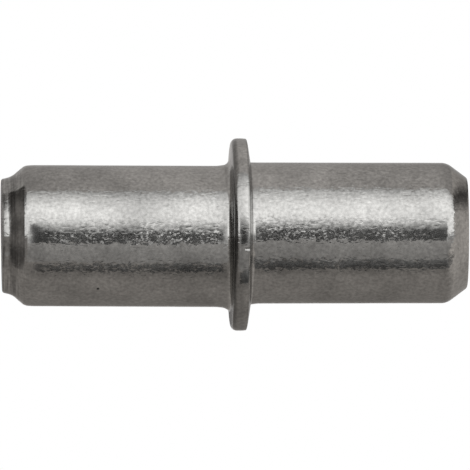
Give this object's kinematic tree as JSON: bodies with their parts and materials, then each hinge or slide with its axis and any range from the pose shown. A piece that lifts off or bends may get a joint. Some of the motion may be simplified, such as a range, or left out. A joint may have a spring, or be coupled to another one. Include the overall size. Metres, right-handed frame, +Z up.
{
  "type": "shelf support pin",
  "caption": "Round plated steel pin with a thin collar between its shanks: the shorter shank goes into a hole in a cabinet side, the longer carries a shelf.",
  "frame": {"origin": "on the panel shank's axis, where the collar's face meets that shank, which is the cabinet side's surface", "axes": "+X along the pin into the cabinet side, -X towards the shelf, +Z up"},
  "size_m": [0.0161, 0.0066, 0.0067],
  "materials": {
    "nickel_plate": "satin"
  },
  "bodies": {
    "root": {"shelf_pin": "nickel_plate"}
  },
  "joints": []
}
